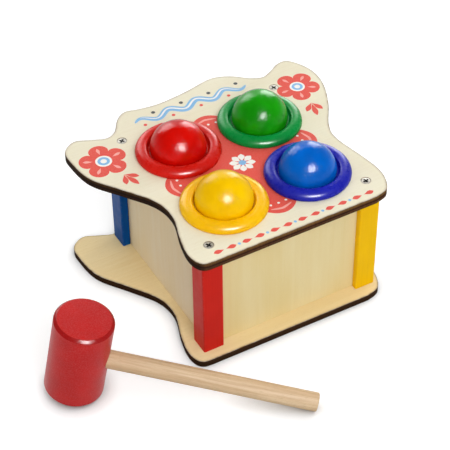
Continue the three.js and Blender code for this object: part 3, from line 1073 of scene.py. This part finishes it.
woodRound = {
    "post": 0.5, "panel": 0.3, "ramp": 0.3,                 # mm
    "steps": 3, "profile": 0.5,
    "weld": 0.001, "flatDegrees": 1, "sharpDegrees": 50, "shadeDegrees": 60,
    "flatArea": 30.0,                                       # square mm; larger faces stay flat
}
frameSpecs = {                  # name, look and slot
    "post": {
        "post_front_left": ("postFrontLeft", "redPaint", "red_paint"),
        "post_front_right": ("postFrontRight", "yellowPaint", "yellow_paint"),
        "post_back_left": ("postBackLeft", "navyPaint", "navy_paint"),
        "post_back_right": ("postBackRight", "greenPaint", "green_paint"),
    },
    "panel": {
        "front_panel": ("frontPanel", "panelPly", "panel_ply"),
        # the side panels take the paler copy of the panel plywood, painted light for their shaded sides
        "left_panel": ("leftPanel", "sidePlyPaintedLight", "panel_ply"),
        "right_panel": ("rightPanel", "sidePlyPaintedLight", "panel_ply"),
    },
    "ramp": {
        "ramp": ("rampPiece", "rampPly", "ramp_ply"),
        "ramp_wedge_left": ("wedgeLeftPiece", "rampPly", "ramp_ply"),
        "ramp_wedge_right": ("wedgeRightPiece", "rampPly", "ramp_ply"),
    },
}


def roundedCopy(node, name, edgeRound):
    # the CAD solid with its facets joined and its sharp edges rounded
    mesh = cadNodes[node].data.copy()
    mesh.name = name
    work = bmesh.new()
    work.from_mesh(mesh)
    bmesh.ops.remove_doubles(work, verts=work.verts, dist=woodRound["weld"] * mm)
    flat = math.radians(woodRound["flatDegrees"])
    bmesh.ops.dissolve_limit(work, angle_limit=flat, verts=work.verts, edges=work.edges)
    limit = math.radians(woodRound["sharpDegrees"])
    sharp = [e for e in work.edges if e.is_manifold and e.calc_face_angle() > limit]
    bmesh.ops.bevel(
        work, geom=sharp, offset=edgeRound * mm, segments=woodRound["steps"],
        profile=woodRound["profile"], affect="EDGES", clamp_overlap=True,
    )
    work.to_mesh(mesh)
    work.free()
    shadeRound(mesh, woodRound["shadeDegrees"])
    for face in mesh.polygons:
        face.use_smooth = face.area < woodRound["flatArea"] * mm * mm
    return mesh


def addFrame():
    looks = {}
    for part, specs in frameSpecs.items():
        for node, (name, look, slotName) in specs.items():
            if look not in looks:
                looks[look] = makePostPaint(look) if part == "post" else makePly(look)
            mesh = roundedCopy(node, name, woodRound[part])
            addPiece(name, mesh, looks[look], "bench", node)
    print("posts, panels and ramp")


# Rings and balls

ringShape = {                   # mm
    "footInset": 2.0, "rimHeight": 2.3, "crestInset": 6.2, "shoulderRise": 3.0,
    "lipRound": 2.0, "throatHeight": 2.4, "throatGap": 0.08,
    "funnelWidth": {"red": 2.0, "green": 2.2, "yellow": 1.0, "blue": 2.0},
    "sleeveWall": 1.8, "barbWidth": 0.9, "barbGap": 0.3,
    "holeGap": 2.4,             # from the ball to the board's hole
    "steps": 128, "curveSteps": 10, "shadeDegrees": 40,
}
ballShape = {"steps": 96, "bands": 64}


def curveBetween(start, firstPull, secondPull, end, steps):
    ends = [Vector((*p, 0.0)) for p in (start, firstPull, secondPull, end)]
    return [(p.x, p.y) for p in geometry.interpolate_bezier(*ends, steps + 1)][1:]


def bowBetween(start, pull, end, steps):
    # one control point, raised to the two of a cubic curve
    first = [s + (p - s) * 2 / 3 for s, p in zip(start, pull)]
    second = [e + (p - e) * 2 / 3 for e, p in zip(end, pull)]
    return curveBetween(start, first, second, end, steps)


def ringProfile(rim, crestHeight, ballRadius, funnelWidth, sleeveEnd, boardBottom):
    shape = ringShape
    steps = shape["curveSteps"]
    crest = rim - shape["crestInset"]
    throat = ballRadius + shape["throatGap"]
    lip = throat + funnelWidth
    sleeve = throat + shape["sleeveWall"]
    barb = sleeve + shape["barbWidth"]
    barbTop = boardBottom - shape["barbGap"]
    rise = shape["shoulderRise"]
    shoulder = ((rim, shape["rimHeight"] + rise), (crest + rise, crestHeight), (crest, crestHeight))
    points = [(sleeve, 0.0), (rim - shape["footInset"], 0.0)]
    points += bowBetween(points[-1], (rim, 0.0), (rim, shape["rimHeight"]), steps)
    points += curveBetween(points[-1], *shoulder, steps * 2)
    points += bowBetween(points[-1], (lip, crestHeight), (lip, crestHeight - shape["lipRound"]), steps)
    points += bowBetween(points[-1], (lip, shape["throatHeight"]), (throat, shape["throatHeight"]), steps)
    points += [(throat, sleeveEnd), (sleeve, sleeveEnd), (barb, barbTop), (sleeve, barbTop)]
    return [(radius * mm, height * mm) for radius, height in points]


def addRings():
    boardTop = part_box("top_board")[1].z
    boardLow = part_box("top_board")[0].z
    for colourName in ballColours:
        low, high, middle, size = nodeSize("ring_" + colourName)
        ballRadius = nodeSize("ball_" + colourName)[3].z / 2 / mm
        profile = ringProfile(
            size.x / 2 / mm, (high.z - boardTop) / mm, ballRadius, ringShape["funnelWidth"][colourName],
            (low.z - boardTop) / mm, (boardLow - boardTop) / mm,
        )
        name = "ring" + colourName.capitalize()
        place = Matrix.Translation((middle.x, middle.y, boardTop))
        mesh = lathe(name, profile, ringShape["steps"], place, closed=True)
        shadeRound(mesh, ringShape["shadeDegrees"])
        plastic = makeRingPlastic(colourName)
        addPiece(name, mesh, plastic, "bench", "ring_" + colourName)
    print("rings")


def addBalls():
    bands = ballShape["bands"]
    angles = [math.pi * k / bands - math.pi / 2 for k in range(bands + 1)]
    for colourName in ballColours:
        _, _, middle, size = nodeSize("ball_" + colourName)
        radius = size.z / 2
        profile = [(radius * math.cos(a), radius * math.sin(a)) for a in angles]
        name = "ball" + colourName.capitalize()
        mesh = lathe(name, profile, ballShape["steps"], Matrix.Translation(middle))
        mesh.shade_smooth()
        node = "ball_" + colourName
        addPiece(name, mesh, makeBallPaint(colourName), node, node)
    print("balls")


# Screws

screwShape = {                  # mm
    "edge": 0.4, "headDepth": 2.4, "shank": 1.7, "tip": 4.0, "softening": 0.12, "softSteps": 3,
    "recessReach": 2.3, "recessWidth": 1.5, "recessDepth": 1.9, "recessOver": 0.5,
    "recessFoot": (0.35, 0.8),  # shares of the reach and the width
    "seatGap": 0.3, "mouthDepth": 0.35, "coneDepth": 3.0,
    "steps": 48, "shadeDegrees": 35,
    "turns": {"front_left": 28, "front_right": 8, "back_left": 40, "back_right": 15},
}


def recessBlade(turn):
    # one blade of the cross, narrower and shorter at its foot
    shape = screwShape
    reach = shape["recessReach"] * mm
    half = shape["recessWidth"] * mm / 2
    footReach, footWidth = shape["recessFoot"]
    rows = (
        (reach, half, shape["recessOver"] * mm),
        (reach, half, 0.0),
        (reach * footReach, half * footWidth, -shape["recessDepth"] * mm),
    )
    verts = []
    for long, wide, height in rows:
        verts += [(-long, -wide, height), (long, -wide, height), (long, wide, height), (-long, wide, height)]
    faces = [(0, 1, 2, 3), (11, 10, 9, 8)]
    for row in (0, 4):
        for k in range(4):
            after = (k + 1) % 4
            faces.append((row + k, row + 4 + k, row + 4 + after, row + after))
    mesh = bpy.data.meshes.new("blade")
    mesh.from_pydata(verts, [], faces)
    mesh.transform(Matrix.Rotation(turn, 4, "Z"))
    fixNormals(mesh)
    return mesh


def screwMesh(head, length):
    shape = screwShape
    shank = shape["shank"] * mm
    outline = [
        (0.0, -length), (shank, shape["tip"] * mm - length), (shank, -shape["headDepth"] * mm),
        (head, -shape["edge"] * mm), (head, 0.0), (0.0, 0.0),
    ]
    profile = softProfile(outline, shape["softening"] * mm, shape["softSteps"])
    mesh = lathe("screw", profile, shape["steps"])
    mesh = subtract(mesh, [recessBlade(0.0), recessBlade(math.pi / 2)])
    shadeRound(mesh, shape["shadeDegrees"])
    # the faces inside the cross slot, which the zinc darkens as painted shade
    inRecessShade = mesh.attributes.new("recess", "FLOAT", "FACE")
    reach = shape["recessReach"] * mm
    for face, mark in zip(mesh.polygons, inRecessShade.data):
        middle = face.center
        sunk = -shape["headDepth"] * mm < middle.z < -shape["softening"] * mm / 2
        mark.value = 1.0 if sunk and middle.xy.length < reach else 0.0
    return mesh


def addScrews():
    zinc = makeZinc()
    for corner, turn in screwShape["turns"].items():
        label = "".join(word.capitalize() for word in corner.split("_"))
        for level in ("top", "bottom"):
            node = "screw_" + level + "_" + corner
            low, high, middle, size = nodeSize(node)
            mesh = screwMesh(size.x / 2, size.z)
            flip = Matrix.Rotation(0.0 if level == "top" else math.pi, 4, "X")
            seat = Matrix.Translation((middle.x, middle.y, high.z if level == "top" else low.z))
            mesh.transform(seat @ flip @ Matrix.Rotation(math.radians(turn), 4, "Z"))
            addPiece("screw" + level.capitalize() + label, mesh, zinc, "bench", node)
    print("screws")


# Mallet

malletShape = {                 # mm
    "chamfer": 2.2, "chamferSoft": 0.6, "headSteps": 128,
    "handleChamfer": 0.6, "handleSoft": 0.25, "handleSteps": 64,
    "boreGap": 0.3, "softSteps": 5, "shadeDegrees": 35,
    "rimLean": (0.3, 0.95),     # share of the axis in the direction that the chamfer faces
}


def turnedFrame(mesh):
    # where a turned CAD piece lies: its axis, its middle, its radius and half its length
    areas = np.array([face.area for face in mesh.polygons])
    normals = np.array([face.normal for face in mesh.polygons])
    spread = (normals * areas[:, None]).T @ normals
    axis = np.linalg.eigh(spread)[1][:, 0]
    if axis[np.argmax(np.abs(axis))] < 0:
        axis = -axis
    points = np.array([v.co for v in mesh.vertices])
    turn = Vector(axis).to_track_quat("Z", "X").to_matrix()
    local = points @ np.array(turn)
    low = local.min(axis=0)
    high = local.max(axis=0)
    middle = turn @ Vector((low + high) / 2)
    half = (high - low) / 2
    return Matrix.Translation(middle) @ turn.to_4x4(), half[0], half[2]


def chamferedRod(name, radius, half, chamfer, soft, steps, place):
    outline = [(0.0, -half), (radius - chamfer * mm, -half), (radius, chamfer * mm - half)]
    outline += [(r, -h) for r, h in reversed(outline)]
    return lathe(name, softProfile(outline, soft * mm, malletShape["softSteps"]), steps, place)


def markRim(mesh, axis):
    # 1 on the faces that slope between an end and the side, where the paint puts painted shade and a smoother
    # finish
    onRim = mesh.attributes.new("rim", "FLOAT", "FACE")
    least, most = malletShape["rimLean"]
    for face, mark in zip(mesh.polygons, onRim.data):
        mark.value = 1.0 if least < abs(face.normal.dot(axis)) < most else 0.0


def addMallet():
    shape = malletShape
    headPlace, headRadius, headHalf = turnedFrame(cadNodes["mallet_head"].data)
    place, radius, half = turnedFrame(cadNodes["mallet_handle"].data)
    head = chamferedRod(
        "malletHead", headRadius, headHalf, shape["chamfer"], shape["chamferSoft"], shape["headSteps"],
        headPlace,
    )
    handle = chamferedRod(
        "malletHandle", radius, half, shape["handleChamfer"], shape["handleSoft"], shape["handleSteps"],
        place,
    )
    gap = shape["boreGap"] * mm
    rod = [(0.0, -half - gap), (radius + gap, -half - gap), (radius + gap, half), (0.0, half)]
    head = subtract(head, [lathe("bore", rod, shape["handleSteps"], place)])
    for mesh in (head, handle):
        shadeRound(mesh, shape["shadeDegrees"])
    markRim(head, headPlace.to_3x3() @ Vector((0.0, 0.0, 1.0)))
    addPiece("malletHead", head, makeMalletPaint(), "mallet", "mallet_head")
    addPiece("malletHandle", handle, makeDowel(place.to_3x3()), "mallet", "mallet_handle")
    print("mallet")


# Studio

studio = {
    "floorSize": 30.0,
    "floorColour": "d2d2d2",
    "floorGlow": 0.56,
    "shadowReach": 0.013,       # how far the contact shadow spreads on the floor
    "shadowFoot": 0.3,          # share of open sky at which the glow is gone
    "skyLight": 0.5,            # on matt surfaces
    "skyAbove": 0.03,           # what gloss sees overhead; level with the eye it sees white
    "skyFade": (0.0, 0.3),
    "aim": (0.0, 0.0, 0.08),
    "lamps": {                  # light on matt colours; size is across and up
        "key": {"azimuth": -11, "elevation": 41, "distance": 1.6, "size": (0.8, 0.8), "level": 0.4},
        "top": {"azimuth": -11, "elevation": 75, "distance": 1.6, "size": (1.0, 1.0), "level": 0.15},
        "right": {"azimuth": 107, "elevation": 30, "distance": 1.6, "size": (0.9, 0.9), "level": 0.24},
        "left": {"azimuth": -118, "elevation": 22, "distance": 1.6, "size": (0.9, 0.9), "level": 0.07},
    },
    "glints": {                 # seen in gloss only
        "keyGlint": {"azimuth": -11, "elevation": 41, "distance": 1.6, "size": (0.74, 0.74), "level": 6.4},
        "leftBox": {"azimuth": 183, "elevation": 26, "distance": 1.6, "size": (0.83, 1.0), "level": 0.85},
        "rightBox": {"azimuth": 134, "elevation": 18, "distance": 1.6, "size": (0.62, 0.94), "level": 0.75},
        "backGlow": {"azimuth": 153, "elevation": 30, "distance": 1.7, "size": (0.8, 1.0), "level": 0.15},
    },
}

cameraView = {
    "place": (-0.46226, -0.80370, 0.88495),
    "pitchDown": 42.2604,
    "yaw": -29.0815,
    "roll": -0.6692,
    "focalPixels": 1555.756,
    "imagePixels": 450,
    "sensor": 36.0,
}


def rayShare(tree, *kinds):
    # 1 for the kinds of rays named, 0 for all others
    rays = put(tree, "LightPath").outputs
    share = rays["Is " + kinds[0] + " Ray"]
    for kind in kinds[1:]:
        share = calc(tree, "ADD", share, rays["Is " + kind + " Ray"], clamp=True)
    return share


def addFloor():
    half = studio["floorSize"] / 2
    mesh = bpy.data.meshes.new("floor")
    corners = [(-half, -half, 0), (half, -half, 0), (half, half, 0), (-half, half, 0)]
    mesh.from_pydata(corners, [], [(0, 1, 2, 3)])
    floor = newObject("floor", mesh)
    material, tree = newMaterial("floorWhite")
    open = put(tree, "AmbientOcclusion", {"Distance": studio["shadowReach"]}).outputs["AO"]
    glow = remap(tree, open, studio["shadowFoot"], 1.0, 0.0, studio["floorGlow"])
    glow = calc(tree, "MULTIPLY", rayShare(tree, "Camera", "Glossy", "Transmission"), glow)
    matte = put(tree, "BsdfDiffuse", {"Color": tint(studio["floorColour"])})
    light = put(tree, "Emission", {"Color": tint("ffffff"), "Strength": glow})
    both = put(tree, "AddShader", {0: matte.outputs[0], 1: light.outputs[0]})
    put(tree, "OutputMaterial", {"Surface": both.outputs[0]})
    mesh.materials.append(material)


def addSky():
    world = bpy.data.worlds.new("studioSky")
    bpy.context.scene.world = world
    world.use_nodes = True
    tree = world.node_tree
    tree.nodes.clear()
    height = put(tree, "SeparateXYZ", {0: put(tree, "TexCoord").outputs["Generated"]}).outputs[2]
    inGloss = remap(tree, height, *studio["skyFade"], 1.0, studio["skyAbove"])
    plain = remap(tree, rayShare(tree, "Camera"), 0.0, 1.0, studio["skyLight"], 1.0)
    strength = remap(tree, rayShare(tree, "Glossy", "Transmission"), 0.0, 1.0, plain, inGloss)
    sky = put(tree, "Background", {"Color": tint("ffffff"), "Strength": strength})
    put(tree, "OutputWorld", {"Surface": sky.outputs[0]})


def lampAt(name, lamp):
    # level is the brightness that the lamp alone gives a white card which faces it
    azimuth = math.radians(lamp["azimuth"])
    elevation = math.radians(lamp["elevation"])
    away = Vector((
        math.sin(azimuth) * math.cos(elevation),
        -math.cos(azimuth) * math.cos(elevation),
        math.sin(elevation),
    ))
    data = bpy.data.lights.new(name, "AREA")
    data.shape = "ELLIPSE" if lamp["size"][0] == lamp["size"][1] else "RECTANGLE"
    data.size, data.size_y = lamp["size"]
    data.energy = lamp["level"] * (math.pi * lamp["distance"]) ** 2
    light = newObject(name, data)
    light.visible_camera = False
    light.location = Vector(studio["aim"]) + away * lamp["distance"]
    light.rotation_euler = away.to_track_quat("Z", "Y").to_euler()
    return light


def addLamps():
    for name, lamp in studio["lamps"].items():
        lampAt(name, lamp).visible_glossy = False
    for name, lamp in studio["glints"].items():
        lampAt(name, lamp).visible_diffuse = False


def addCamera():
    view = cameraView
    data = bpy.data.cameras.new("camera")
    data.sensor_width = view["sensor"]
    data.lens = view["focalPixels"] * view["sensor"] / view["imagePixels"]
    camera = newObject("camera", data)
    yaw = Matrix.Rotation(math.radians(view["yaw"]), 4, "Z")
    pitch = Matrix.Rotation(math.radians(90 - view["pitchDown"]), 4, "X")
    roll = Matrix.Rotation(math.radians(view["roll"]), 4, "Z")
    camera.matrix_world = Matrix.Translation(view["place"]) @ yaw @ pitch @ roll
    bpy.context.scene.camera = camera


addCamera()
addFloor()
addSky()
addLamps()
print("studio")
addBoards()
addFrame()
addRings()
addBalls()
addScrews()
addMallet()

bpy.context.scene.view_settings.view_transform = "Standard"
bpy.context.view_layer.update()
